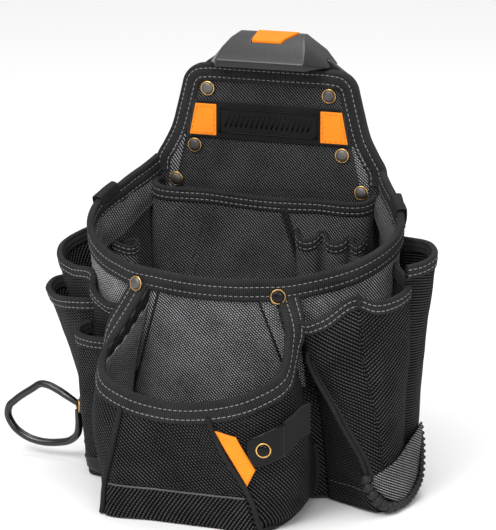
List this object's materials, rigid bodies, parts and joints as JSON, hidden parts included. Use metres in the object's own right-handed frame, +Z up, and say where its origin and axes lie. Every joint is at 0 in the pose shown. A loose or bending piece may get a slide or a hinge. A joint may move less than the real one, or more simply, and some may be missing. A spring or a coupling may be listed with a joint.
{
  "type": "electrician tool pouch",
  "caption": "Soft-sided electrician tool pouch with a main mouth, front and side pockets, hammer loop, tape strap and clip-on belt hub.",
  "frame": {"origin": "on the ground under the middle of the main pocket, on the base panel", "axes": "+Z up; +Y towards the wearer, the back panel side; +X to the right when looking at the front pocket"},
  "size_m": [0.3561, 0.2424, 0.3364],
  "materials": {
    "black_weave": "matt woven",
    "grey_weave": "matt woven",
    "tape": "ribbed tape",
    "base_fabric": "coated fabric",
    "black_polymer": "fine satin",
    "orange_polymer": "satin",
    "label_black": "moulded rubbery plastic",
    "brass": "polished",
    "rivet_grey": "satin",
    "black_steel": "gloss powder coat",
    "steel": "brushed",
    "gloss_black": "gloss",
    "rubber": "matt moulded"
  },
  "bodies": {
    "pouch": {"back_panel": "black_weave", "back_panel_binding": "tape", "base_panel": "base_fabric", "button_spring": "steel", "corner_guard_cord": "rubber", "corner_guard_left": "rubber", "corner_guard_right": "rubber", "dock_hood": "black_polymer", "dock_receiver": "black_polymer", "dock_screws": "rivet_grey", "front_pipings": "tape", "front_pocket_base": "base_fabric", "front_pocket_binding": "tape", "front_pocket_face": "black_weave", "front_pocket_kick_band": "black_weave", "front_pocket_left_gusset": "black_weave", "front_pocket_right_gusset": "black_weave", "hammer_loop_rivet": "rivet_grey", "inner_folded_seam": "black_weave", "inner_left_loop": "black_weave", "inner_panel_binding": "tape", "inner_pen_binding": "tape", "inner_pen_pocket": "black_weave", "inner_tool_panel": "black_weave", "left_low_pocket": "black_weave", "left_low_pocket_binding": "tape", "left_mid_pocket": "black_weave", "left_mid_pocket_binding": "tape", "left_rear_pocket": "black_weave", "left_rear_pocket_binding": "tape", "main_front_panel": "grey_weave", "main_left_gusset": "black_weave", "main_right_gusset": "black_weave", "main_rim_binding": "tape", "name_strip": "label_black", "orange_patch_left": "orange_polymer", "orange_patch_right": "orange_polymer", "orange_tag": "orange_polymer", "panel_rivets": "rivet_grey", "right_front_pocket": "black_weave", "right_front_pocket_binding": "tape", "right_pocket_piping": "tape", "right_rear_pocket": "black_weave", "right_rear_pocket_binding": "tape", "rim_rivets": "rivet_grey", "rivet_rings": "brass", "shoulder_webs": "grey_weave", "side_tabs": "tape", "snap_stud": "rivet_grey"},
    "belt_hub": {"hub_clip": "black_polymer", "hub_wedge": "black_polymer", "hub_hinge_pin": "steel"},
    "hub_flap": {"hub_flap": "orange_polymer"},
    "release_button": {"release_button": "orange_polymer"},
    "latch": {"latch_blade": "black_polymer"},
    "hammer_loop": {"hammer_loop": "black_steel"},
    "tape_strap": {"strap_web": "grey_weave", "strap_tip": "gloss_black", "snap_cap": "rivet_grey", "snap_ring": "brass"}
  },
  "joints": [
    {"name": "hub_dock_slide", "type": "slide", "parent": "pouch", "child": "belt_hub", "axis": [0, 0, -1], "range_m": [0, 0.1]},
    {"name": "hub_flap_hinge", "type": "hinge", "parent": "belt_hub", "child": "hub_flap", "pos_m": [0, 0.0899, 0.2235], "axis": [1, 0, 0], "range_deg": [0, 90]},
    {"name": "button_press", "type": "slide", "parent": "pouch", "child": "release_button", "axis": [0, 0, -1], "range_m": [0, 0.003], "stiffness_N_per_m": 800, "deforming": ["button_spring"]},
    {"name": "latch_travel", "type": "slide", "parent": "pouch", "child": "latch", "axis": [0, 0, -1], "range_m": [0, 0.0032]},
    {"name": "hammer_loop_swing", "type": "hinge", "parent": "pouch", "child": "hammer_loop", "pos_m": [-0.1275, -0.0255, 0.044], "axis": [-0.8655, -0.501, 0], "range_deg": [-40, 40]},
    {"name": "tape_strap_open", "type": "hinge", "parent": "pouch", "child": "tape_strap", "pos_m": [0.0937, -0.1119, 0.0865], "axis": [0, 0, 1], "range_deg": [0, 110]}
  ],
  "couplings": [
    {"joint": "latch_travel", "follows": "button_press", "ratio": 1}
  ]
}
